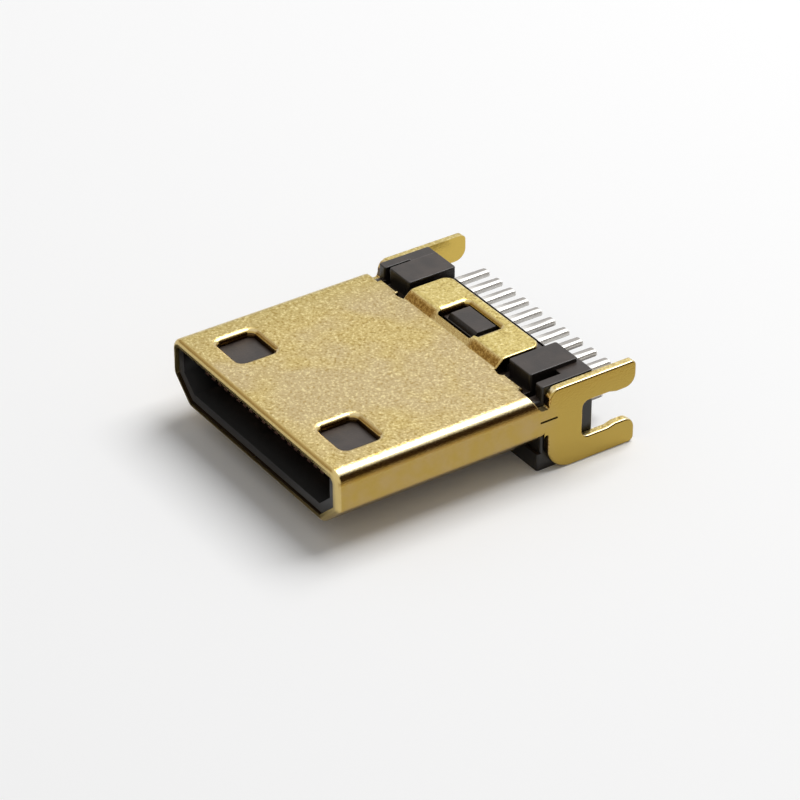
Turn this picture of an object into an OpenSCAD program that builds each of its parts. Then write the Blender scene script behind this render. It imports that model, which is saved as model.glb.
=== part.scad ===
/* [Mating shell] */
// Outside width of the shell
shell_w = 10.42; // [10:0.02:11]
// Outside height of the shell
shell_h = 2.42; // [2.34:0.02:2.6]
// Thickness of the folded sheet
sheet_t = 0.28; // [0.22:0.01:0.3]
// Inside radius of the two top folds
top_fold_r = 0.22; // [0.1:0.02:0.3]
// Inside radius of the four lower folds
low_fold_r = 0.04; // [0.03:0.01:0.08]
// Width of each slanted lower side
slant_w = 1.01; // [0.8:0.01:1.1]
// Height of each slanted lower side
slant_h = 0.92; // [0.8:0.01:1]
// Radius of the rolled outer edge at the mouth
mouth_edge_r = 0.2; // [0.05:0.01:0.2]
// Length of the top sheet from the mouth
top_len = 8.05; // [7.95:0.01:8.1]
// Width of the top sheet between the set-backs at its rear corners
ear_w = 8.5; // [8:0.1:9]
// Set-back of the rear edge over each top fold
corner_back = 0.17; // [0.1:0.01:0.25]
// Length by which the lower sheet runs past the top sheet
low_reach = 0.25; // [0.2:0.01:0.4]
// Width of the butt seam along the underside
seam_w = 0.04; // [0.02:0.01:0.06]
// Reach of each dovetail lock across the seam
lock_w = 0.5; // [0.3:0.05:0.8]
// Length of each dovetail lock at its root
lock_l = 0.6; // [0.4:0.05:0.9]

/* [Latch windows] */
// Sheet left between the two windows
latch_gap = 4.8; // [4.2:0.1:5]
// Width of each window
latch_w = 1.59; // [1.2:0.01:1.7]
// Length of each window
latch_l = 1.45; // [1:0.05:1.8]
// Sheet left between the mouth and each window
latch_y = 1.05; // [0.8:0.05:1.4]
// Corner radius of the windows
latch_r = 0.22; // [0.1:0.02:0.4]

/* [Strap] */
// Width of the raised strap
strap_w = 5.56; // [5.2:0.02:5.8]
// Height of the strap above the top sheet
strap_rise = 0.29; // [0.26:0.01:0.34]
// Length of the strap from the foot of its ramp
strap_l = 2; // [1.9:0.02:2.04]
// Slope of the ramp up to the strap, in degrees
strap_slope = 45; // [42:1:55]
// Inside radius of the two folds of the ramp
strap_fold_r = 0.12; // [0.06:0.02:0.16]
// Radius of the strap's rear corners
strap_corner_r = 0.4; // [0.2:0.05:0.5]
// Width of the window in the strap
hook_w = 2; // [1.8:0.05:2.4]
// Length of the window in the strap
hook_l = 1.28; // [1.2:0.02:1.34]
// Sheet left behind the window in the strap
hook_back = 0.48; // [0.42:0.01:0.55]
// Corner radius of the window in the strap
hook_r = 0.1; // [0.05:0.01:0.15]
// Width of the relief notch on each side of the strap
relief_w = 0.42; // [0.3:0.02:0.5]
// Depth of the relief notches, from the rear edge of the top sheet to the foot of the ramp
relief_l = 0.13; // [0.08:0.01:0.2]

/* [Fork plates] */
// Gap between the lower sheet and each plate
notch_w = 0.18; // [0.14:0.01:0.24]
// Reach of each plate's neck below the upright side wall
neck_reach = 0.17; // [0.05:0.01:0.2]
// Length of each plate, front edge to prong tips
plate_l = 3.64; // [3.4:0.02:3.8]
// Height of each plate
plate_h = 3.28; // [3.2:0.02:3.36]
// Radius of the plate's upper front corner
plate_top_r = 0.38; // [0.2:0.02:0.45]
// Radius of the plate's lower front corner
plate_low_r = 1; // [0.6:0.05:1.1]
// Length of the slot between the prongs
slot_l = 2.22; // [2:0.02:2.3]
// Corner radius at the closed end of the slot
slot_r = 0.25; // [0.1:0.05:0.4]
// Clearance of the slot on each face of the board
prong_gap = 0.115; // [0.1:0.005:0.14]
// Height of the grip at the end of each prong
grip_h = 0.08; // [0.04:0.01:0.09]
// Length of the grip at the end of each prong
grip_l = 0.82; // [0.6:0.02:1]
// Length of the ramp up to each grip
grip_ramp_l = 0.3; // [0.2:0.02:0.4]
// Outer radius of the prong tips
tip_out_r = 0.22; // [0.1:0.02:0.3]
// Inner radius of the prong tips
tip_in_r = 0.45; // [0.3:0.05:0.5]
// Length of the lanced slit in each side
slit_l = 0.72; // [0.5:0.02:0.8]
// Width of the lanced slit
slit_w = 0.08; // [0.05:0.01:0.1]
// Height of the slit above the underside of the shell
slit_z = 1.47; // [1.3:0.01:1.6]

/* [Board] */
// Thickness of the circuit board that the tails take
board_t = 1.2; // [1:0.05:1.25]
// Height of the board's middle above the underside of the shell
board_z = 0.95; // [0.93:0.01:0.97]
// Solder gap between each row of tails and the board
solder_gap = 0.04; // [0.02:0.01:0.06]

/* [Contacts] */
// Number of contacts with tails above the board
upper_count = 10; // [6:1:10]
// Pitch of the contact points in the mouth
pitch = 0.4; // [0.36:0.01:0.4]
// Thickness of the contact strip
contact_t = 0.18; // [0.14:0.01:0.19]
// Width of the contact beams
beam_w = 0.2; // [0.14:0.01:0.22]
// Width of the solder tails
tail_w = 0.4; // [0.3:0.01:0.42]
// Inside radius of the contact folds
contact_fold_r = 0.1; // [0.06:0.01:0.12]
// Length of the tails behind the board stop
tail_out = 1.64; // [1.2:0.02:1.8]
// Corner radius at the end of each tail
tail_end_r = 0.12; // [0.05:0.01:0.14]
// Distance from the mouth to the free ends of the contacts
contact_y = 0.42; // [0.4:0.01:0.6]
// How far the contact point hangs below its beam
contact_drop = 0.26; // [0.2:0.01:0.32]
// Slope of the spring beam, in degrees
beam_slope = 12; // [10:1:16]
// Lift of the free end, in degrees
free_lift = 50; // [35:1:60]

/* [Housing] */
// Set-back of the lining from the mouth
lining_y = 0.1; // [0.02:0.02:0.2]
// Thickness of the lining at the sides and floor of the mouth
lining_t = 0.32; // [0.25:0.01:0.35]
// Thickness of the grooved roof of the mouth
comb_t = 0.46; // [0.42:0.01:0.5]
// Set-back of the grooved roof from the mouth
comb_y = 0.45; // [0.3:0.05:0.7]
// Plastic left above each contact groove
groove_web = 0.1; // [0.06:0.01:0.12]
// Side clearance of a beam in its groove
groove_gap = 0.03; // [0.02:0.01:0.05]
// Depth of the mouth
mouth_l = 6; // [5:0.1:7]
// Length of the body, behind the lower sheet of the shell
body_l = 2.18; // [2:0.02:2.4]
// Reach of the shelf under the shell, ahead of the body
shelf_l = 0.13; // [0.08:0.01:0.2]
// Height by which the body stays above the foot of the plates
body_lift = 0.01; // [0:0.01:0.1]
// Corner radius of the body and its blocks
body_r = 0.1; // [0.05:0.01:0.12]
// Height of the blocks above the strap
block_proud = 0.08; // [0.02:0.01:0.15]
// Set-back of the blocks from the board stop
block_back = 0.19; // [0.1:0.01:0.3]
// Width of the outer lugs beside the plates
lug_w = 0.41; // [0.35:0.01:0.5]
// Height of the outer lugs above the plates
lug_proud = 0.05; // [0.02:0.01:0.1]
// Set-back of the lugs from the board stop
lug_back = 0.05; // [0.02:0.01:0.1]
// Width of the pocket between block and lug
pocket_w = 0.26; // [0.15:0.01:0.3]
// Length of the pocket between block and lug
pocket_l = 1.04; // [0.8:0.02:1.2]
// Depth of the pocket below the top of the body
pocket_d = 0.6; // [0.3:0.05:0.8]
// Length of the flat top of the hook
hook_top_l = 0.81; // [0.7:0.01:0.85]
// Length of the hook's sloped front
hook_ramp_l = 0.3; // [0.2:0.01:0.32]
// Height by which the hook stays below the top of the strap
hook_low = 0.1; // [0.05:0.01:0.15]

/* [Rear insert] */
// Distance from the board stop to the legs of the lower contacts
leg_back = 1.39; // [1.3:0.01:1.44]
// Plastic left beside the outermost tails
row_margin = 0.1; // [0.05:0.01:0.15]

/* [Fits] */
// Clearance between the shell and the housing
shell_fit = 0.02; // [0.01:0.005:0.03]
// Clearance around the contacts
contact_fit = 0.01; // [0.005:0.005:0.015]
// Gap between the lower sheet and the front of the body
body_gap = 0.06; // [0.03:0.01:0.1]
// Gap on each side of the strap
strap_gap = 0.2; // [0.1:0.02:0.25]
// Gap on each side of the hook in its window
hook_gap = 0.2; // [0.1:0.02:0.25]

/* [Hidden] */
$fn = 48;
lower_count = upper_count - 1;
function numbered(name, count) = [for (i = [1 : count]) str(name, i < 10 ? "0" : "", i)];
UPPER = numbered("upper_contact_", upper_count);
LOWER = numbered("lower_contact_", lower_count);

// How far a cutting shape runs past the face it cuts
over = 1;
// Places of the two dovetail locks, as shares of the lower sheet
lock_at = [0.3, 0.7];
// Flare of a dovetail lock, as a share of its length
lock_flare = 0.2;
// Radius of the gentle fold at the root of a spring beam
beam_fold_r = 0.5;
// Straight stretch at the free end of a contact
free_l = 0.1;
// Share of the sheet that the rolled edge may take
edge_share = 0.75;
// Shortest radius worth drawing
fine_r = 0.03;
// Rounding of the insert where the lower contacts fold, as a multiple of their inside radius
insert_relief = 1.5;

// Corners of the shell's outside in width and height, anticlockwise seen from the mouth
outline = [
    [-shell_w / 2, shell_h],
    [-shell_w / 2, slant_h],
    [-shell_w / 2 + slant_w, 0],
    [shell_w / 2 - slant_w, 0],
    [shell_w / 2, slant_h],
    [shell_w / 2, shell_h]
];
top_r = sheet_t + top_fold_r;
low_r = sheet_t + low_fold_r;
outline_r = [top_r, low_r, low_r, low_r, low_r, top_r];
edge_r = min(mouth_edge_r, sheet_t * edge_share);

// Heights above the underside of the shell
neck_top = shell_h - top_r;
neck_low = inside(outline, 4, low_r)[1] - neck_reach;
inner_top = shell_h - sheet_t - shell_fit;
strap_top = shell_h + strap_rise;
plate_low = board_z - plate_h / 2;
plate_top = board_z + plate_h / 2;
body_low = plate_low + body_lift;
block_top = strap_top + block_proud;
lug_top = plate_top + lug_proud;
slot_h = board_t + 2 * prong_gap;
tail_gap = board_t + 2 * solder_gap;
row_low = board_z - tail_gap / 2 - contact_t;
row_top = board_z + tail_gap / 2 + contact_t;
groove_top = inner_top - groove_web;
mouth_top = inner_top - comb_t;

// Distances from the mouth
low_len = top_len + low_reach;
plate_y = low_len + notch_w;
tip_y = plate_y + plate_l;
slot_y = tip_y - slot_l;
body_y = low_len + body_gap;
shelf_y = body_y - shelf_l;
stop_y = body_y + body_l;
strap_y = top_len - relief_l;
strap_end_y = strap_y + strap_l;
hook_end_y = strap_end_y - hook_back;
block_end_y = stop_y - block_back;
leg_y = stop_y - leg_back;
bend_y = leg_y - contact_fold_r - contact_t;
open_y = bend_y - contact_fit;
insert_y = leg_y + 2 * contact_fit;
tail_y = stop_y + tail_out;

// Widths
body_w = shell_w - 2 * sheet_t - 2 * shell_fit;
block_x = strap_w / 2 + strap_gap;
lug_x = body_w / 2 - lug_w;
block_end_x = lug_x - pocket_w;
open_w = 2 * upper_count * pitch - 2 * pitch + tail_w + 2 * row_margin;

// Length of a slope that rises by rise between two folds of outline radii r1 and r2
function slope_l(rise, r1, r2, a) = (rise - (r1 + r2) * (1 - cos(a))) / sin(a);
// Length along the base that such a slope takes, folds included
function slope_run(rise, r1, r2, a) = (r1 + r2) * sin(a) + slope_l(rise, r1, r2, a) * cos(a);

function unit(v) = v / norm(v);
function before(p, i) = p[(i + len(p) - 1) % len(p)];
function after(p, i) = p[(i + 1) % len(p)];
function half_angle(p, i) = acos(unit(before(p, i) - p[i]) * unit(after(p, i) - p[i])) / 2;
// Point at corner i of a convex outline, d inside both of its edges
function inside(p, i, d) =
    p[i] + unit(unit(before(p, i) - p[i]) + unit(after(p, i) - p[i])) * d / sin(half_angle(p, i));
// Outward normal of the edge that leaves corner i
function normal(p, i) = let (d = unit(after(p, i) - p[i])) [d[1], -d[0]];
function inset(p, d) = [for (i = [0 : len(p) - 1]) inside(p, i, d)];
function rectangle(x0, y0, x1, y1) = [[x0, y0], [x1, y0], [x1, y1], [x0, y1]];

// Convex outline with its own radius at each corner
module rounded(p, r) {
    last = len(p) - 1;
    polygon([for (i = [0 : last]) each (r[i] > 0
        ? [inside(p, i, r[i]) + r[i] * normal(p, (i + last) % len(p)), inside(p, i, r[i]) + r[i] * normal(p, i)]
        : [p[i]])]);
    for (i = [0 : last]) if (r[i] > 0) translate(inside(p, i, r[i])) circle(r[i]);
}

// Rounds an inner corner at the origin, in the quadrant of sx and sy
module fillet(r, sx, sy) {
    scale([sx, sy]) difference() {
        square(r);
        translate([r, r]) circle(r);
    }
}

// Turns a shape drawn in width and height, standing along its third axis, to lie along the plug
module lengthwise() rotate([-90, 0, 0]) mirror([0, 1, 0]) children();
module along(y0, y1) lengthwise() translate([0, 0, y0]) linear_extrude(y1 - y0) children();
// Extrudes a side view, drawn in length and height, across a width
module across(w) rotate([90, 0, 90]) linear_extrude(w, center = true) children();
// Extrudes a plan view, drawn in width and length, between two heights
module upright(z0, z1) translate([0, 0, z0]) linear_extrude(z1 - z0) children();
module both_sides() {
    children();
    mirror([1, 0, 0]) children();
}
// Puts the origin on the board stop, at the middle of the board
module placed() translate([0, -stop_y, -board_z]) children();

// Flat stretch of strip of thickness t, then whatever follows it
module run(l, t) {
    square([l, t]);
    translate([l, 0]) children();
}

// Fold of the strip by angle a, upwards if a is positive, then whatever follows it
module fold(a, r, t) {
    up = a > 0 ? 1 : -1;
    centre = [0, up > 0 ? t + r : -r];
    reach = 2 * (r + t);
    translate(centre) {
        intersection() {
            difference() {
                circle(r + t);
                circle(r);
            }
            polygon([for (b = [0, a / 2, a]) reach * [up * sin(b), -up * cos(b)], [0, 0]]);
        }
        rotate(a) translate(-centre) children();
    }
}

// Section of the sheet across its thickness, with the rolled edge at the mouth
module sheet_section() {
    difference() {
        square([sheet_t, low_len + over]);
        difference() {
            translate([sheet_t - edge_r, -over]) square([edge_r + over, over + edge_r]);
            translate([sheet_t - edge_r, edge_r]) circle(edge_r);
        }
    }
}

// Flat wall of the tube, then whatever follows it
module wall(l) {
    rotate([90, 0, 90]) linear_extrude(l) sheet_section();
    translate([l, 0, 0]) children();
}

// Fold of the tube towards its inside, then whatever follows it
module wall_fold(a, r) {
    translate([0, -r, 0]) {
        rotate(90) rotate_extrude(angle = -a) translate([r, 0]) sheet_section();
        rotate(-a) translate([0, r, 0]) children();
    }
}

// Half of the tube, folded from the middle of the top sheet round to the seam
module half_tube(past_seam) {
    turn = atan2(slant_h, slant_w);
    side_turn = 90 - turn;
    side_cut = low_r * tan(side_turn / 2);
    slant_cut = low_r * tan(turn / 2);
    lengthwise() translate([0, shell_h - sheet_t, 0])
        wall(shell_w / 2 - top_r) wall_fold(90, top_fold_r)
        wall(shell_h - top_r - slant_h - side_cut) wall_fold(side_turn, low_fold_r)
        wall(norm([slant_w, slant_h]) - side_cut - slant_cut) wall_fold(turn, low_fold_r)
        wall(shell_w / 2 - slant_w - slant_cut + past_seam);
}

// Plan of the dovetails across the seam, grown by d
module locks(d) {
    half = lock_l / 2 + d;
    flare = lock_flare * lock_l;
    for (share = lock_at) translate([0, share * low_len])
        polygon([[-seam_w, -half], [lock_w + d, -half - flare], [lock_w + d, half + flare], [-seam_w, half]]);
}

// The folded tube, with a butt seam along the underside
module tube() {
    difference() {
        half_tube(-seam_w / 2);
        upright(-over, shell_h / 2) locks(seam_w);
    }
    mirror([1, 0, 0]) difference() {
        half_tube(lock_w);
        upright(-over, shell_h / 2) mirror([1, 0]) difference() {
            translate([-seam_w / 2, -over]) square([lock_w + over, low_len + 3 * over]);
            locks(0);
        }
    }
}

module window(w, l, r) rounded(rectangle(-w / 2, -l / 2, w / 2, l / 2), [r, r, r, r]);

// Tongue of the top sheet, folded up into a ramp and back to level
module strap() {
    r_low = strap_fold_r + sheet_t;
    ramp = slope_l(strap_rise, r_low, strap_fold_r, strap_slope);
    flat = strap_l - slope_run(strap_rise, r_low, strap_fold_r, strap_slope);
    intersection() {
        across(strap_w) translate([strap_y - relief_l, shell_h - sheet_t])
            run(relief_l, sheet_t) fold(strap_slope, strap_fold_r, sheet_t)
            run(ramp, sheet_t) fold(-strap_slope, strap_fold_r, sheet_t)
            run(flat + over, sheet_t);
        upright(0, strap_top + over)
            rounded(rectangle(-strap_w / 2, strap_y - relief_l, strap_w / 2, strap_end_y),
                [0, 0, strap_corner_r, strap_corner_r]);
    }
}

// Side view of a fork plate with its neck
module plate_outline() {
    difference() {
        union() {
            difference() {
                rounded(rectangle(plate_y, plate_low, tip_y, plate_top),
                    [plate_low_r, tip_out_r, tip_out_r, plate_top_r]);
                rounded(rectangle(slot_y, board_z - slot_h / 2, tip_y + over, board_z + slot_h / 2),
                    [slot_r, 0, 0, slot_r]);
            }
            for (side = [-1, 1]) translate([tip_y, board_z]) scale([1, side]) prong_grip();
            neck();
        }
        for (side = [-1, 1])
            translate([tip_y, board_z + side * (slot_h / 2 - grip_h)]) fillet(tip_in_r, -1, side);
        slit();
    }
}

// Raised end of a prong that pinches the board
module prong_grip() {
    z = slot_h / 2;
    polygon([[-grip_l, z - grip_h], [0, z - grip_h], [0, z], [-grip_l - grip_ramp_l, z]]);
}

// Strip of side wall that carries the plate, with round notches above and below it
module neck() {
    r = notch_w / 2;
    back = plate_y + plate_top_r;
    translate([low_len, neck_low]) square([back - low_len, neck_top - neck_low]);
    translate([low_len, neck_low]) fillet(r, 1, -1);
    translate([plate_y, neck_low]) fillet(r, -1, -1);
    translate([plate_y, neck_top]) fillet(r, -1, 1);
}

module slit() {
    translate([plate_y, slit_z]) {
        square([slit_l - slit_w, slit_w], center = true);
        for (side = [-1, 1]) translate([side * (slit_l - slit_w) / 2, 0]) circle(slit_w / 2);
    }
}

// Slanted end of the sheet over a top fold
module corner_cut() {
    translate([shell_w / 2, 0, 0]) across(shell_w - ear_w) polygon([
        [top_len - corner_back, shell_h], [top_len, neck_top + notch_w], [low_len, neck_top + notch_w],
        [low_len, shell_h + over], [top_len - corner_back, shell_h + over]]);
}

// End of the top sheet at the foot of the ramp, with a notch on each side of the strap
module relief() {
    half = strap_w / 2 + relief_w;
    upright(shell_h / 2, shell_h + over)
        rounded(rectangle(-half, strap_y, half, low_len), [relief_l, relief_l, 0, 0]);
}

module fork_plate() translate([(shell_w - sheet_t) / 2, 0, 0]) across(sheet_t) plate_outline();

module shell() {
    color([0.80, 0.70, 0.42]) placed() difference() {
        union() {
            difference() {
                tube();
                across(shell_w + 2 * over) {
                    rounded(rectangle(top_len, neck_top, low_len + over, shell_h + over),
                        [notch_w, 0, 0, 0]);
                    translate([low_len, -over]) square([2 * over, shell_h + 2 * over]);
                }
                both_sides() translate([shell_w / 2, 0, 0]) across(3 * sheet_t) slit();
                both_sides() upright(shell_h / 2, shell_h + over)
                    translate([(latch_gap + latch_w) / 2, latch_y + latch_l / 2])
                        window(latch_w, latch_l, latch_r);
                both_sides() corner_cut();
                relief();
            }
            strap();
            both_sides() fork_plate();
        }
        upright(shell_h / 2, strap_top + over)
            translate([0, hook_end_y - hook_l / 2]) window(hook_w, hook_l, hook_r);
    }
}

// Lining of the mouth, running back into the body
module nose() {
    d = sheet_t + shell_fit;
    along(lining_y, stop_y - body_l / 2)
        rounded(inset(outline, d), [for (r = outline_r) r - d > fine_r ? r - d : 0]);
}

// Space that the mating tongue enters, the grooves over it and the holes for the beams
module mouth() {
    d = sheet_t + shell_fit + lining_t;
    cavity_w = shell_w - 2 * d;
    along(-over, mouth_l) intersection() {
        polygon(inset(outline, d));
        translate([-cavity_w / 2, 0]) square([cavity_w, mouth_top]);
    }
    translate([-cavity_w / 2, -over, mouth_top - lining_y])
        cube([cavity_w, over + comb_y, groove_top - mouth_top + lining_y]);
    groove = beam_w + 2 * groove_gap;
    hole_w = beam_w + 2 * contact_fit;
    beam_low = row_top - contact_t - contact_fit;
    for (x = contact_places(upper_count + lower_count, pitch)) {
        translate([x - groove / 2, 0, mouth_top - lining_y])
            cube([groove, mouth_l, groove_top - mouth_top + lining_y]);
        translate([x - hole_w / 2, mouth_l - over, beam_low])
            cube([hole_w, open_y + contact_fit - mouth_l + over, contact_t + 2 * contact_fit]);
    }
}

// Places of count contacts, spaced evenly about the middle
function contact_places(count, spacing) = [for (i = [0 : count - 1]) (i - (count - 1) / 2) * spacing];

// Body behind the shell, with a shelf that the shell's lower sheet lies on
module body() {
    corners = [body_r, body_r, body_r, body_r];
    upright(body_low, -shell_fit) rounded(rectangle(-body_w / 2, shelf_y, body_w / 2, stop_y), corners);
    upright(body_low, inner_top) rounded(rectangle(-body_w / 2, body_y, body_w / 2, stop_y), corners);
}

// Block beside the strap
module block() {
    upright(inner_top - body_r, block_top)
        rounded(rectangle(block_x, body_y, block_end_x, block_end_y), [body_r, body_r, body_r, body_r]);
}

// Low lug outside the block, against the fork plate
module lug() {
    outer = body_w / 2;
    upright(inner_top - body_r, lug_top) {
        rounded(rectangle(lug_x, body_y, outer, stop_y - lug_back),
            [body_r, body_r, body_r, 0]);
        rounded(rectangle((block_x + block_end_x) / 2, body_y + pocket_l, outer, stop_y - lug_back),
            [0, 0, body_r, body_r]);
    }
}

// Deck that the strap lies on, and the hook that stands in the strap's window
module deck() {
    ramp_end = strap_y + slope_run(strap_rise, strap_fold_r + sheet_t, strap_fold_r, strap_slope);
    deck_end = strap_end_y - strap_gap / 2;
    top = strap_top - sheet_t - shell_fit;
    upright(inner_top - body_r, top)
        rounded(rectangle(-strap_w / 2, ramp_end + shell_fit, strap_w / 2, deck_end), [0, 0, body_r, body_r]);
    hook_rear = hook_end_y - shell_fit;
    hook_front = hook_rear - hook_top_l;
    across(hook_w - 2 * hook_gap) polygon([
        [hook_front - hook_ramp_l, inner_top - body_r], [hook_rear, inner_top - body_r],
        [hook_rear, strap_top - hook_low], [hook_front, strap_top - hook_low],
        [hook_front - hook_ramp_l, inner_top]]);
}

module housing() {
    color([0.20, 0.19, 0.19]) placed() difference() {
        union() {
            nose();
            body();
            both_sides() block();
            both_sides() lug();
            deck();
        }
        mouth();
        both_sides() upright(inner_top - pocket_d, lug_top + over)
            rounded(rectangle(block_end_x, body_y - over, lug_x, body_y + pocket_l), [0, 0, 0, 0]);
        translate([-open_w / 2, open_y, row_low - contact_fit])
            cube([open_w, stop_y - open_y + over, row_top - row_low + 2 * contact_fit]);
    }
}

// Insert between the two rows of tails, with a rib between each pair
module rear_insert() {
    w = open_w - 2 * contact_fit;
    low = row_low + contact_t + contact_fit;
    top = row_top - contact_t - contact_fit;
    rib_w = 2 * pitch - tail_w - 2 * contact_fit;
    relief = insert_relief * contact_fold_r;
    color([0.16, 0.16, 0.17]) placed() {
        across(w) rounded(rectangle(insert_y, low, stop_y, top), [relief, 0, 0, 0]);
        for (x = contact_places(lower_count, 2 * pitch)) translate([x - rib_w / 2, insert_y, top - contact_t])
            cube([rib_w, stop_y - insert_y, 2 * contact_t + contact_fit]);
        for (x = contact_places(upper_count, 2 * pitch)) translate([x - rib_w / 2, insert_y + relief, row_low])
            cube([rib_w, stop_y - insert_y - relief, 2 * contact_t + contact_fit]);
    }
}

// Plan of a contact: a narrow beam that widens into its tail at wide_y
module contact_plan(wide_y) {
    translate([-beam_w / 2, 0]) square([beam_w, wide_y + tail_w]);
    rounded(rectangle(-tail_w / 2, wide_y, tail_w / 2, tail_y),
        [tail_w / 4, tail_w / 4, tail_end_r, tail_end_r]);
}

// Side view of the spring end, drawn forwards from the place where the beam starts to slope
module spring_end() {
    slope = slope_l(contact_drop, beam_fold_r, contact_fold_r + contact_t, beam_slope);
    fold(-beam_slope, beam_fold_r, contact_t)
    run(slope, contact_t) fold(beam_slope + free_lift, contact_fold_r, contact_t)
    run(free_l, contact_t);
}

// Distance from the mouth at which the beam starts to slope
function spring_y() = contact_y + (contact_fold_r + contact_t) * sin(free_lift) + free_l * cos(free_lift)
    + slope_run(contact_drop, beam_fold_r, contact_fold_r + contact_t, beam_slope);

// Cuts a side view, drawn forwards from the end of the tail, to the plan of a contact
module contact_blank(z, wide_y) {
    intersection() {
        across(tail_w) translate([tail_y, z]) mirror([1, 0]) children();
        upright(row_low - over, row_top + over) contact_plan(wide_y);
    }
}

module upper_contact(x) {
    color([0.86, 0.85, 0.82]) placed() translate([x, 0, 0])
        contact_blank(row_top - contact_t, insert_y)
            run(tail_y - spring_y(), contact_t) spring_end();
}

module lower_contact(x) {
    color([0.86, 0.85, 0.82]) placed() translate([x, 0, 0])
        contact_blank(row_low, bend_y + contact_fit)
            run(tail_y - leg_y - contact_fold_r, contact_t) fold(90, contact_fold_r, contact_t)
            run(tail_gap - 2 * contact_fold_r, contact_t) fold(-90, contact_fold_r, contact_t)
            run(bend_y - spring_y(), contact_t) spring_end();
}

shell();
housing();
rear_insert();
for (i = [0 : upper_count - 1]) upper_contact(contact_places(upper_count, 2 * pitch)[i]);
for (i = [0 : lower_count - 1]) lower_contact(contact_places(lower_count, 2 * pitch)[i]);
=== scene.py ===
"""A mini digital video plug for the edge of a circuit board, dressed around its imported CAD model."""

import math

import bmesh
import bpy
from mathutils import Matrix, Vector


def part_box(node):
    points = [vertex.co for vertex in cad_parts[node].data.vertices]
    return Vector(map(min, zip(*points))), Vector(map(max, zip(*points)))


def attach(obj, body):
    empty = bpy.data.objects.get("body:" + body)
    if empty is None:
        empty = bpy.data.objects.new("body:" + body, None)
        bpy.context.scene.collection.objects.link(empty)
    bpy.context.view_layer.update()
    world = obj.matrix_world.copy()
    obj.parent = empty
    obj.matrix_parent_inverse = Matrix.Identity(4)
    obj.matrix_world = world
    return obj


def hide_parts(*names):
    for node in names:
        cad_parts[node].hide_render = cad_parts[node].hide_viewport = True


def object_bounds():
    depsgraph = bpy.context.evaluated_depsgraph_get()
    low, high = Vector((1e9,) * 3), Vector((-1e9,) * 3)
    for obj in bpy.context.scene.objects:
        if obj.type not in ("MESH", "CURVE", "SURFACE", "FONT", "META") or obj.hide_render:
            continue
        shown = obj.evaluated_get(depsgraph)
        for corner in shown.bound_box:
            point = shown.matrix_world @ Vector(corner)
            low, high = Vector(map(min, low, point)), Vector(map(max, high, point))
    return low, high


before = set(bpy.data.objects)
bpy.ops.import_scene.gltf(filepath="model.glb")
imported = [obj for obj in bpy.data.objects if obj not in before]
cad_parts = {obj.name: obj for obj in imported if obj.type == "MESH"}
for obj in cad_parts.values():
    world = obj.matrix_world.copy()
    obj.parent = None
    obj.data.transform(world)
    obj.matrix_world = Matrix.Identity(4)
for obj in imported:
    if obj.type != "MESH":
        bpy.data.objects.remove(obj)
cad_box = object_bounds()


# Shell: one sheet of copper alloy, stamped, folded round the housing and plated with gold.
# The punch drew the outer skin round along every cut edge. The top keeps the satin grain of
# the blasted die and glitters, while folding burnished the folds and sides nearly smooth.

mm = 0.001
shell_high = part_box("shell")[1]
sheet_t = 0.28 * mm
strap_rise = 0.29 * mm
sheet_top = shell_high.z - strap_rise
top_half, tube_half = 4.8 * mm, 4.9 * mm  # half widths, between the folds and inside the tube
rim_from, rim_to = -10.36 * mm, -10.42 * mm
window_r = 0.25 * mm
punch_r = 0.08 * mm
punch_room = 1.5 * punch_r
round_steps = 3
weld = 0.0002 * mm
one_plane = math.radians(0.4)
crease = math.radians(35)
sharp_edge = 1.0  # radians
grain_size = 0.1 * mm  # the blasted grain is finer, and is drawn as coarse as it needs to show
cloud_size = 2.4 * mm
rub_size = 0.5 * mm

# Boxes round places on the sheet, from corner to corner, with X taken from the middle plane.
latch_window = (2.1 * mm, -9.8 * mm), (4.7 * mm, -7.2 * mm)
strap_window = (-1.3 * mm, -2.15 * mm), (1.3 * mm, -0.75 * mm)
ramp_window = (-1.3 * mm, -2.6 * mm), (1.3 * mm, -2.15 * mm)
neck = (shell_high.x - sheet_t, -2.6 * mm, -0.16 * mm), (shell_high.x + sheet_t, -1.65 * mm, 1.07 * mm)


def colour(code):
    """sRGB hex, such as D2BC78, as a linear colour."""
    parts = [int(code[i : i + 2], 16) / 255 for i in (0, 2, 4)]
    return [p / 12.92 if p <= 0.04045 else ((p + 0.055) / 1.055) ** 2.4 for p in parts] + [1]


def add(tree, kind, inputs=None, **settings):
    """Adds a node. Its inputs go by name, or by number where a name is used twice.

    An input given as a socket, or as a node for its first output in use, is linked.
    """
    made = tree.nodes.new(kind)
    for name, value in settings.items():
        setattr(made, name, value)
    for name, value in (inputs or {}).items():
        in_use = [socket for socket in made.inputs if socket.enabled]
        target = in_use[name] if isinstance(name, int) else next(s for s in in_use if s.name == name)
        if isinstance(value, bpy.types.Node):
            value = next(socket for socket in value.outputs if socket.enabled)
        if isinstance(value, bpy.types.NodeSocket):
            tree.links.new(value, target)
        else:
            target.default_value = value
    return made


def material(name):
    """A new material, and its empty node tree."""
    made = bpy.data.materials.new(name)
    made.use_nodes = True
    made.node_tree.nodes.clear()
    return made, made.node_tree


def area_normal(face, vert):
    """The normal at a face's corner, by area over the faces joined to it by smooth edges."""
    fan, todo = {face}, [face]
    while todo:
        for edge in todo.pop().edges:
            if edge.smooth and vert in edge.verts:
                fresh = [other for other in edge.link_faces if other not in fan]
                fan.update(fresh)
                todo.extend(fresh)
    return sum((other.normal * other.calc_area() for other in fan), Vector()).normalized()


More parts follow.
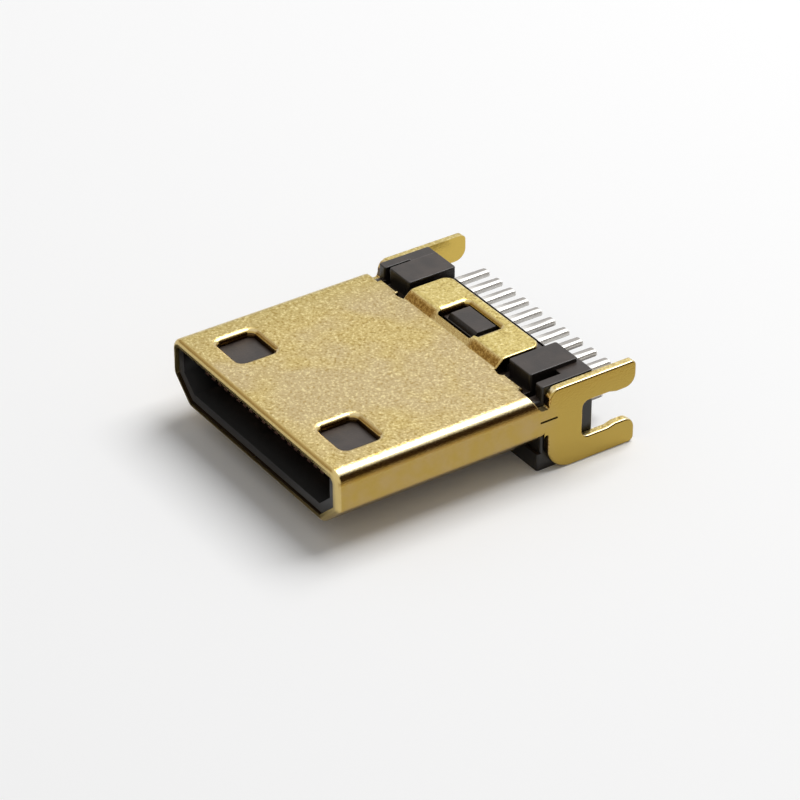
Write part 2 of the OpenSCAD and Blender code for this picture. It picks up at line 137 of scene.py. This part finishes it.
def finished_copy(node, name, finish, rounds=(), mark=None):
    """A CAD node's mesh as one clean skin. Rounds are pairs of a radius and a test of an edge.

    The faces that pass the test mark get 1 in the attribute "dull", and the rest get 0.
    """
    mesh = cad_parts[node].data.copy()
    bm = bmesh.new()
    bm.from_mesh(mesh)
    bmesh.ops.remove_doubles(bm, verts=bm.verts, dist=weld)
    bmesh.ops.dissolve_limit(bm, angle_limit=one_plane, verts=bm.verts, edges=bm.edges)
    for edge_r, chosen in rounds:
        sharp = [edge for edge in bm.edges if edge.is_convex and edge.calc_face_angle(0) > sharp_edge]
        bmesh.ops.bevel(
            bm, geom=[edge for edge in sharp if chosen(edge)], affect="EDGES", offset=edge_r,
            segments=round_steps, profile=0.5, material=-1, clamp_overlap=False, loop_slide=False)
        bmesh.ops.remove_doubles(bm, verts=bm.verts, dist=weld)
    raw_or_shaded = bm.faces.layers.float.new("raw_or_shaded")
    for face in bm.faces:
        face.smooth = True
        face[raw_or_shaded] = float(mark is not None and mark(face))
    for edge in bm.edges:
        edge.smooth = edge.calc_face_angle(0) < crease
    normals = [area_normal(face, loop.vert) for face in bm.faces for loop in face.loops]
    bm.to_mesh(mesh)
    bm.free()
    mesh.normals_split_custom_set(normals)
    piece = bpy.data.objects.new(name, mesh)
    bpy.context.scene.collection.objects.link(piece)
    mesh.materials.clear()
    mesh.materials.append(finish)
    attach(piece, "root")
    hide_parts(node)


def outer_skin(face):
    """Whether a face is on the outside of the top sheet, the strap or a side."""
    middle = face.calc_center_median()
    beside = abs(middle.x) > shell_high.x - sheet_t
    over = middle.z > sheet_top - sheet_t and not (beside and middle.z > sheet_top)
    return over and face.normal.z > 0.5 or beside and face.normal.x * middle.x > 0.5 * abs(middle.x)


def in_box(edge, box):
    """Whether an edge's middle is in a box. One with two numbers to a corner has any height."""
    x, y, z = (edge.verts[0].co + edge.verts[1].co) / 2
    return all(low < middle < high for low, middle, high in zip(box[0], (abs(x), y, z), box[1]))


def punched(edge):
    """Whether an edge is between the outer skin and a cut, where the skin has room for its round."""
    skins = [face for face in edge.link_faces if outer_skin(face)]
    wide = len(skins) == 1 and skins[0].calc_area() > punch_room * edge.calc_length()
    return wide and not in_box(edge, neck) and not in_box(edge, ramp_window)


def in_window(edge):
    """Whether an edge is round a latch window or the strap's, where the punch drew it further."""
    return (in_box(edge, latch_window) or in_box(edge, strap_window)) and punched(edge)


def cut_or_shaded_face(face):
    """Whether a face is a cut through the sheet behind the mouth, or the floor inside the tube, which
    gets painted shade.
    """
    middle, facing = face.calc_center_median(), face.normal
    in_top = abs(middle.x) < top_half and abs(facing.z) < 0.35 and middle.z > sheet_top - 1.5 * sheet_t
    inside = abs(middle.x) < tube_half and facing.z > 0.2 and middle.z < 0
    return middle.y > rim_from and (abs(facing.y) > 0.96 or in_top) or inside


gold, tree = material("satin_gold_plate")
spot = add(tree, "ShaderNodeTexCoord")
place = spot.outputs["Object"]
at = add(tree, "ShaderNodeSeparateXYZ", {"Vector": place})
aside = add(tree, "ShaderNodeMath", {0: at.outputs["X"]}, operation="ABSOLUTE")
facing = add(tree, "ShaderNodeSeparateXYZ", {"Vector": spot.outputs["Normal"]})
grain = add(tree, "ShaderNodeTexNoise", {
    "Vector": place, "Scale": 1 / grain_size, "Detail": 2, "Roughness": 0.6})
cloud = add(tree, "ShaderNodeTexNoise", {"Vector": place, "Scale": 1 / cloud_size, "Detail": 2})
rub = add(tree, "ShaderNodeTexNoise", {"Vector": place, "Scale": 1 / rub_size, "Detail": 3})

# The flat tops are clouded, yellower towards the left edge and on the strap, and the grain
# has brown pits and pale glints; the glints are painted highlights.
satin = add(tree, "ShaderNodeMapRange", {
    "Value": facing.outputs["Z"], "From Min": 0.86, "From Max": 0.985}, interpolation_type="SMOOTHSTEP")
cloudy = add(tree, "ShaderNodeMapRange", {"Value": cloud, "From Min": 0.4, "From Max": 0.6})
clouded = add(tree, "ShaderNodeMix", {
    "Factor": cloudy, "A": colour("C1AB6E"), "B": colour("BBA77C")}, data_type="RGBA")
near_left = add(tree, "ShaderNodeMapRange", {
    "Value": at.outputs["X"], "From Min": -3.2 * mm, "From Max": -4.6 * mm})
left_tint = add(tree, "ShaderNodeMix", {
    "Factor": near_left, "A": clouded, "B": colour("B9A568")}, data_type="RGBA")
on_strap = add(tree, "ShaderNodeMapRange", {
    "Value": at.outputs["Z"], "From Min": sheet_top + 0.1 * mm, "From Max": sheet_top + 0.25 * mm})
top_tint = add(tree, "ShaderNodeMix", {
    "Factor": on_strap, "A": left_tint, "B": colour("C9B671")}, data_type="RGBA")
patchy = add(tree, "ShaderNodeMapRange", {
    "Value": cloud, "From Min": 0.4, "From Max": 0.6, "To Min": 1, "To Max": 0.7})
pit = add(tree, "ShaderNodeMapRange", {
    "Value": grain, "From Min": 0.47, "From Max": 0.31, "To Max": patchy})
painted_glint = add(tree, "ShaderNodeMapRange", {
    "Value": grain, "From Min": 0.54, "From Max": 0.68, "To Max": 0.62})
pitted = add(tree, "ShaderNodeMix", {
    "Factor": pit, "A": top_tint, "B": colour("9C8240")}, data_type="RGBA")
pits_and_painted_glints = add(tree, "ShaderNodeMix", {
    "Factor": painted_glint, "A": pitted, "B": colour("EEDFA6")}, data_type="RGBA")

# The sides are rubbed in small patches. The fork plates behind them are a deeper gold,
# painted brighter on the left one's inner face as painted light, and the upper folds are painted pale
# along the top as a painted highlight.
worn = add(tree, "ShaderNodeMapRange", {"Value": rub, "From Min": 0.35, "From Max": 0.65})
side_tint = add(tree, "ShaderNodeMix", {
    "Factor": worn, "A": colour("AF944E"), "B": colour("B0965E")}, data_type="RGBA")
on_fork = add(tree, "ShaderNodeMapRange", {
    "Value": at.outputs["Y"], "From Min": -2.6 * mm, "From Max": -1.6 * mm})
fork_tint = add(tree, "ShaderNodeMix", {
    "Factor": on_fork, "A": side_tint, "B": colour("B2974A")}, data_type="RGBA")
# Painted light: the left plate's inner face is painted brighter.
on_left = add(tree, "ShaderNodeMapRange", {
    "Value": at.outputs["X"], "From Min": -top_half, "From Max": -tube_half})
left_inner_painted_light = add(tree, "ShaderNodeMapRange", {
    "Value": facing.outputs["X"], "From Min": 0.5, "From Max": 0.9, "To Max": on_left})
inner_lit_tint = add(tree, "ShaderNodeMix", {
    "Factor": left_inner_painted_light, "A": fork_tint, "B": colour("CCAF58")}, data_type="RGBA")
# Painted highlight: the tops of the folds are painted pale, and other faces that slope as much are
# painted pale at under half strength.
on_fold = add(tree, "ShaderNodeMapRange", {
    "Value": aside, "From Min": 4.2 * mm, "From Max": 4.5 * mm, "To Min": 0.45})
painted_fold_highlight = add(tree, "ShaderNodeMapRange", {
    "Value": facing.outputs["Z"], "From Min": 0.6, "From Max": 0.84, "To Max": on_fold},
    interpolation_type="SMOOTHSTEP")
fold_highlight_tint = add(tree, "ShaderNodeMix", {
    "Factor": painted_fold_highlight, "A": inner_lit_tint, "B": colour("E8DAB2")}, data_type="RGBA")

# The ramp up to the strap is painted pale in front of the strap's window, a painted highlight,
# and painted a mottled brown beside it, a painted shade.
near_ramp = add(tree, "ShaderNodeMath", {
    0: at.outputs["Y"], 1: -2.4 * mm, 2: 0.4 * mm}, operation="COMPARE")
sloped = add(tree, "ShaderNodeMapRange", {
    "Value": facing.outputs["Y"], "From Min": -0.2, "From Max": -0.65, "To Max": near_ramp})
mottle = add(tree, "ShaderNodeMapRange", {"Value": grain, "From Min": 0.38, "From Max": 0.62})
painted_ramp_shade = add(tree, "ShaderNodeMix", {
    "Factor": mottle, "A": colour("A07F42"), "B": colour("CDB070")}, data_type="RGBA")
off_window = add(tree, "ShaderNodeMapRange", {
    "Value": aside, "From Min": 0.95 * mm, "From Max": 1.2 * mm})
painted_slope_tint = add(tree, "ShaderNodeMix", {
    "Factor": off_window, "A": colour("EFE2B0"), "B": painted_ramp_shade}, data_type="RGBA")
ramp_tint = add(tree, "ShaderNodeMix", {
    "Factor": sloped, "A": fold_highlight_tint, "B": painted_slope_tint}, data_type="RGBA")

# The rim of the mouth is rolled smooth and pale. The cuts are raw metal painted darker as painted shade,
# and the floor inside the tube is painted dark as painted shade.
skin_tint = add(tree, "ShaderNodeMix", {
    "Factor": satin, "A": ramp_tint, "B": pits_and_painted_glints}, data_type="RGBA")
rim = add(tree, "ShaderNodeMapRange", {
    "Value": at.outputs["Y"], "From Min": rim_from, "From Max": rim_to})
rolled = add(tree, "ShaderNodeMix", {
    "Factor": rim, "A": skin_tint, "B": colour("C9B276")}, data_type="RGBA")
# Painted shade: the cuts and the floor inside the tube are painted dark brown.
raw_or_shaded_mark = add(tree, "ShaderNodeAttribute", attribute_name="raw_or_shaded")
plate = add(tree, "ShaderNodeMix", {
    "Factor": raw_or_shaded_mark.outputs["Fac"], "A": rolled, "B": colour("4A3820")}, data_type="RGBA")
skin_rough = add(tree, "ShaderNodeMapRange", {"Value": satin, "To Min": 0.22, "To Max": 0.34})
rough = add(tree, "ShaderNodeMapRange", {"Value": rim, "To Min": skin_rough, "To Max": 0.28})
textured = add(tree, "ShaderNodeMath", {0: satin, 1: sloped}, operation="MAXIMUM")
relief = add(tree, "ShaderNodeMapRange", {"Value": textured, "To Min": 0.2, "To Max": 0.7})
bump = add(tree, "ShaderNodeBump", {"Height": grain, "Distance": 0.02 * mm, "Strength": relief})
shader = add(tree, "ShaderNodeBsdfPrincipled", {
    "Base Color": plate, "Metallic": 1.0, "Roughness": rough, "Normal": bump})
add(tree, "ShaderNodeOutputMaterial", {"Surface": shader})
finished_copy("shell", "folded_shell", gold,
              ((window_r, in_window), (punch_r, punched)), cut_or_shaded_face)


# Housing: one black moulding of glass-filled liquid crystal polymer, pushed into the shell
# from behind. The mould leaves a fine matt skin. Faces turned up are painted greyer as painted light,
# the other faces darker as painted shade, and the lower lead-in of the mouth is painted greyer as
# painted light falling in from the front. The corners keep the small radius of the mould.

mould_r = 0.04 * mm
mould_grain = 0.05 * mm  # the eroded mould's is finer, and is drawn coarse enough to show
mould_cloud = 0.7 * mm
lead_in_from, lead_in_to = -9.5 * mm, -10.2 * mm


def upper_edge(edge):
    """Whether an edge is round a flat top of the blocks, lugs or hook."""
    flat = any(face.normal.z > 0.9 for face in edge.link_faces)
    return flat and min(v.co.z for v in edge.verts) > sheet_top - 2 * sheet_t


moulded, tree = material("black_moulded_polymer")
spot = add(tree, "ShaderNodeTexCoord")
place = spot.outputs["Object"]
at = add(tree, "ShaderNodeSeparateXYZ", {"Vector": place})
facing = add(tree, "ShaderNodeSeparateXYZ", {"Vector": spot.outputs["Normal"]})
grain = add(tree, "ShaderNodeTexNoise", {"Vector": place, "Scale": 1 / mould_grain, "Detail": 4})
cloud = add(tree, "ShaderNodeTexNoise", {"Vector": place, "Scale": 1 / mould_cloud, "Detail": 3})
cloudy = add(tree, "ShaderNodeMapRange", {"Value": cloud, "From Min": 0.35, "From Max": 0.65})
top_tint = add(tree, "ShaderNodeMix", {
    "Factor": cloudy, "A": colour("241B16"), "B": colour("382D26")}, data_type="RGBA")
# Painted light and shade: upward faces are painted greyer, and the others darker.
painted_light_up = add(tree, "ShaderNodeMapRange", {
    "Value": facing.outputs["Z"], "From Min": 0.8, "From Max": 0.97}, interpolation_type="SMOOTHSTEP")
lit_and_shaded_tint = add(tree, "ShaderNodeMix", {
    "Factor": painted_light_up, "A": colour("14100E"), "B": top_tint}, data_type="RGBA")
# Painted light: the lower front of the mouth is painted greyer, fading inwards.
in_mouth = add(tree, "ShaderNodeMapRange", {
    "Value": at.outputs["Z"], "From Min": 0.9 * mm, "From Max": 0.5 * mm})
lead_in = add(tree, "ShaderNodeMapRange", {
    "Value": at.outputs["Y"], "From Min": lead_in_from, "From Max": lead_in_to, "To Max": in_mouth})
painted_mouth_light = add(tree, "ShaderNodeMix", {
    "Factor": lead_in, "A": lit_and_shaded_tint, "B": colour("3E3D3C")}, data_type="RGBA")
bump = add(tree, "ShaderNodeBump", {"Height": grain, "Distance": 0.01 * mm, "Strength": 0.5})
shader = add(tree, "ShaderNodeBsdfPrincipled", {
    "Base Color": painted_mouth_light, "Roughness": 0.34, "IOR": 1.5, "Normal": bump})
add(tree, "ShaderNodeOutputMaterial", {"Surface": shader})
finished_copy("housing", "moulded_housing", moulded, ((mould_r, upper_edge),))


# Rear insert: a smaller black moulding that closes the housing behind and parts the tails.
# It is the same polymer, and its edges stay sharp because the tails lie against them.

finished_copy("rear_insert", "moulded_rear_insert", moulded)


# Contacts: strips of copper alloy, cut and folded in a progressive die and plated with tin.
# The far half of each tail is painted greyer towards its tip, and its edges greyer, as painted shade,
# and the punch drew the edges round.
# The spring ends in the mouth have a dull flash of copper-coloured gold instead, painted dark as painted
# shade in the mouth.

strip_r = 0.1 * mm
strip_pitch = 0.4 * mm
streak_w, streak_l = 0.09 * mm, 1.5 * mm
streak_wander = 0.2 * mm
ripple_size = 0.12 * mm
grey_l = 1.0 * mm
flash_end = -6 * mm


def tail_edge(edge):
    """Whether a contact's edge is round the top of its tail."""
    return any(face.normal.z > 0.9 for face in edge.link_faces) and max(v.co.y for v in edge.verts) > 0


tin, tree = material("bright_tin_plate")
place = add(tree, "ShaderNodeTexCoord").outputs["Object"]
at = add(tree, "ShaderNodeSeparateXYZ", {"Vector": place})
across = add(tree, "ShaderNodeMath", {
    0: at.outputs["X"], 1: -strip_pitch / 2, 2: strip_pitch / 2}, operation="WRAP")
drawn = add(tree, "ShaderNodeMapping", {"Vector": place, "Scale": (1, streak_w / streak_l, 1)})
streak = add(tree, "ShaderNodeTexNoise", {"Vector": drawn, "Scale": 1 / streak_w, "Detail": 2})
wander = add(tree, "ShaderNodeMath", {
    0: streak, 1: streak_wander, 2: across}, operation="MULTIPLY_ADD")
far_half = add(tree, "ShaderNodeMapRange", {
    "Value": wander, "From Min": 0.15 * mm, "From Max": 0.10 * mm})
towards_tip = add(tree, "ShaderNodeMapRange", {
    "Value": at.outputs["Y"], "From Min": 0, "From Max": grey_l, "To Min": 0.3, "To Max": 0.95},
    interpolation_type="SMOOTHSTEP")
# Painted shade: grey on the far half of each tail and along its edges.
far_painted_shade = add(tree, "ShaderNodeMath", {0: far_half, 1: towards_tip}, operation="MULTIPLY")
off_centre = add(tree, "ShaderNodeMath", {0: across}, operation="ABSOLUTE")
edge_painted_shade = add(tree, "ShaderNodeMapRange", {
    "Value": off_centre, "From Min": 0.11 * mm, "From Max": 0.16 * mm, "To Max": 0.35})
grey = add(tree, "ShaderNodeMath", {0: far_painted_shade, 1: edge_painted_shade}, operation="MAXIMUM")
lit_and_shaded_tint = add(tree, "ShaderNodeMix", {
    "Factor": grey, "A": colour("F1F0EC"), "B": colour("8E8A86")}, data_type="RGBA")
# Painted shade: the spring ends in the mouth are painted dark.
flashed_and_shaded = add(tree, "ShaderNodeMath", {0: at.outputs["Y"], 1: flash_end}, operation="LESS_THAN")
plate = add(tree, "ShaderNodeMix", {
    "Factor": flashed_and_shaded, "A": lit_and_shaded_tint, "B": colour("55403A")}, data_type="RGBA")
ripple = add(tree, "ShaderNodeTexNoise", {"Vector": place, "Scale": 1 / ripple_size, "Detail": 2})
bump = add(tree, "ShaderNodeBump", {"Height": ripple, "Distance": 0.008 * mm, "Strength": 0.3})
shader = add(tree, "ShaderNodeBsdfPrincipled", {
    "Base Color": plate, "Metallic": 1.0, "Roughness": 0.48, "Normal": bump})
add(tree, "ShaderNodeOutputMaterial", {"Surface": shader})
for node in sorted(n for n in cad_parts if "contact" in n):
    finished_copy(node, "plated_" + node, tin, ((strip_r, tail_edge),))


# Table: a sheet of white paper, lit by one large soft box over the back of the plug. The
# camera and reflections see a white room round it, which lights the surfaces at a third of that.

paper_half = 600 * mm
room_light = 0.35
lamp_far = 300 * mm
box_across = 210 * mm
box_level = 0.74

paper, tree = material("white_paper")
shader = add(tree, "ShaderNodeBsdfDiffuse", {"Color": colour("FAFAFA")})
add(tree, "ShaderNodeOutputMaterial", {"Surface": shader})
bm = bmesh.new()
bmesh.ops.create_grid(bm, x_segments=1, y_segments=1, size=paper_half)
bmesh.ops.translate(bm, verts=bm.verts, vec=(0, 0, cad_box[0].z))
sheet = bpy.data.meshes.new("paper_sheet")
bm.to_mesh(sheet)
bm.free()
sheet.materials.append(paper)
floor = bpy.data.objects.new("paper_sheet", sheet)
bpy.context.scene.collection.objects.link(floor)

world = bpy.data.worlds.new("studio")
bpy.context.scene.world = world
world.use_nodes = True
tree = world.node_tree
tree.nodes.clear()
path = add(tree, "ShaderNodeLightPath")
mirrored = add(tree, "ShaderNodeMath", {
    0: path.outputs["Is Glossy Ray"], 1: path.outputs["Is Transmission Ray"]}, operation="MAXIMUM")
seen = add(tree, "ShaderNodeMath", {
    0: path.outputs["Is Camera Ray"], 1: mirrored}, operation="MAXIMUM")
strength = add(tree, "ShaderNodeMapRange", {"Value": seen, "To Min": room_light, "To Max": 1.0})
sky = add(tree, "ShaderNodeBackground", {"Color": (1, 1, 1, 1), "Strength": strength})
add(tree, "ShaderNodeOutputWorld", {"Surface": sky})


def towards(azimuth, elevation):
    """Unit vector to a direction. Azimuth 0 is in front of the mouth, and 90 is on its right."""
    a, e = math.radians(azimuth), math.radians(elevation)
    return Vector((math.sin(a) * math.cos(e), -math.cos(a) * math.cos(e), math.sin(e)))


box_dir = towards(186, 61)
lamp = bpy.data.lights.new("soft_box", "AREA")
lamp.shape = "SQUARE"
lamp.size = box_across
lamp.energy = box_level * math.pi**2 * lamp_far**2 / box_dir.z
box = bpy.data.objects.new("soft_box", lamp)
bpy.context.scene.collection.objects.link(box)
box.location = box_dir * lamp_far
box.rotation_mode = "QUATERNION"
box.rotation_quaternion = box_dir.to_track_quat("Z", "Y")


# Reflectors: two brown cards in the room and three mats on the paper, which glow and show only in
# reflections, as painted reflections. The cards draw the brown bands along the folds of the gold, the
# dark mats are painted shadow that keeps the faces round the mouth dark, and the mat on the right fades
# to brown under the near side as painted shade.

right, left, up = towards(125, 22), towards(300, 30), Vector((0, 0, 1))
mat_z = cad_box[0].z + 0.02 * mm
sill_z = mat_z + 0.02 * mm
# The dark mats' colour: painted shadow.
painted_shadow_black = ("080504", "080504")


def reflector(name, codes, size, turn, place, axis="Z", span=(0, 1)):
    """A flat card that shows only in reflections, and fades between two colours along an axis."""
    made, tree = material(name)
    spot = add(tree, "ShaderNodeTexCoord")
    at = add(tree, "ShaderNodeSeparateXYZ", {"Vector": spot.outputs["Object"]})
    along = add(tree, "ShaderNodeMapRange", {
        "Value": at.outputs[axis], "From Min": span[0], "From Max": span[1]})
    fade = add(tree, "ShaderNodeMix", {
        "Factor": along, "A": colour(codes[0]), "B": colour(codes[1])}, data_type="RGBA")
    glow = add(tree, "ShaderNodeEmission", {"Color": fade, "Strength": 1.0})
    add(tree, "ShaderNodeOutputMaterial", {"Surface": glow})
    bm = bmesh.new()
    bmesh.ops.create_grid(bm, x_segments=1, y_segments=1, size=0.5)
    bmesh.ops.scale(bm, vec=(*size, 1), verts=bm.verts)
    bmesh.ops.rotate(bm, cent=(0, 0, 0), matrix=turn.to_track_quat("Z", "Y").to_matrix(), verts=bm.verts)
    bmesh.ops.translate(bm, verts=bm.verts, vec=place)
    mesh = bpy.data.meshes.new(name)
    bm.to_mesh(mesh)
    bm.free()
    mesh.materials.append(made)
    card = bpy.data.objects.new(name, mesh)
    bpy.context.scene.collection.objects.link(card)
    for ray in ("camera", "diffuse", "shadow", "transmission"):
        setattr(card, "visible_" + ray, False)


reflector("card_right", ("6A543C", "2C1408"), (340 * mm, 260 * mm), right, right * lamp_far,
          axis="Z", span=(0, 80 * mm))
reflector("card_left", ("A08864", "D8CCB0"), (300 * mm, 180 * mm), left, left * lamp_far,
          axis="Z", span=(120 * mm, 220 * mm))
reflector("mat_right", ("F0E6D2", "8A7654"), (60 * mm, 70 * mm), up, (39 * mm, 8 * mm, mat_z),
          axis="X", span=(9 * mm, 24 * mm))
reflector("mat_front", painted_shadow_black, (11.4 * mm, 3.7 * mm), up, (-4.8 * mm, -12.75 * mm, mat_z))
reflector("mat_sill", painted_shadow_black, (11.4 * mm, 0.9 * mm), up, (-2.3 * mm, -11.15 * mm, sill_z))


# Camera: at the photograph's viewing angle, in front of the mouth, to its right and above.
# The long lens is 121 mm from the plug, where its perspective is the photograph's.

eye = Vector((84.290, -61.490, 65.610)) * mm
aim = Vector((0.455, -4.890, -0.200)) * mm
lens = bpy.data.cameras.new("camera")
lens.sensor_width = 36
lens.lens = 158.75
lens.clip_start = 1 * mm
lens.clip_end = 10
camera = bpy.data.objects.new("camera", lens)
bpy.context.scene.collection.objects.link(camera)
camera.location = eye
camera.rotation_mode = "QUATERNION"
camera.rotation_quaternion = (eye - aim).to_track_quat("Z", "Y")
bpy.context.scene.camera = camera

bpy.context.scene.view_settings.view_transform = "Standard"
